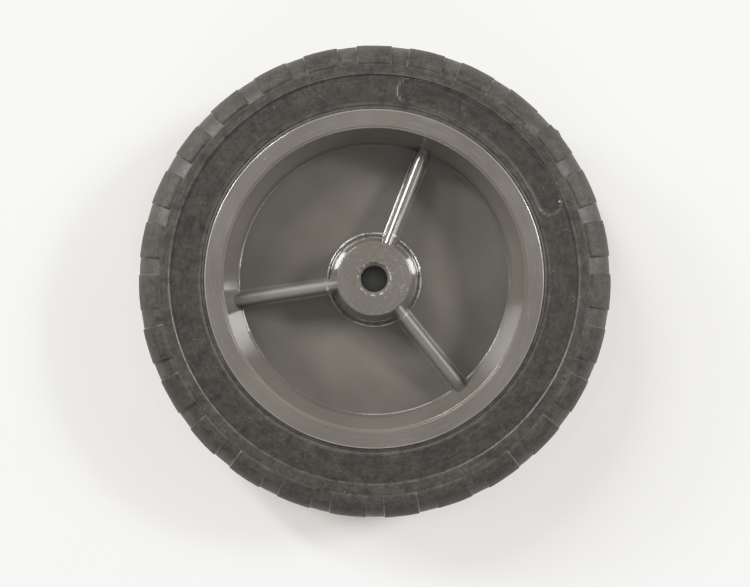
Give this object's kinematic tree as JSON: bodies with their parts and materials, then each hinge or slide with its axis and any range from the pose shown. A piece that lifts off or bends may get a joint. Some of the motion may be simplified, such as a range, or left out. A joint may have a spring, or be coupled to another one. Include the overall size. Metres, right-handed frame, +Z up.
{
  "type": "wheel",
  "caption": "Garden machine wheel: solid rubber tyre with shallow blocky shoulder tread, stretched over a moulded plastic wheel body with a dished disc, radial ribs and a plain axle bore.",
  "frame": {"origin": "the point where the axle bore's axis meets the floor, with the wheel lying on its side", "axes": "+Z up along the axle bore, towards the side wall with the recessed pad; +X and +Y across the wheel, with ribs at 69, 189 and 309 degrees from +X"},
  "size_m": [0.1778, 0.1778, 0.0381],
  "materials": {
    "tyre_rubber": "dull moulded rubber with scuffs and dust",
    "body_plastic": "satin moulded grey-brown plastic with light handling scuffs"
  },
  "bodies": {
    "root": {"tyre": "tyre_rubber", "wheel_body": "body_plastic"}
  },
  "joints": []
}
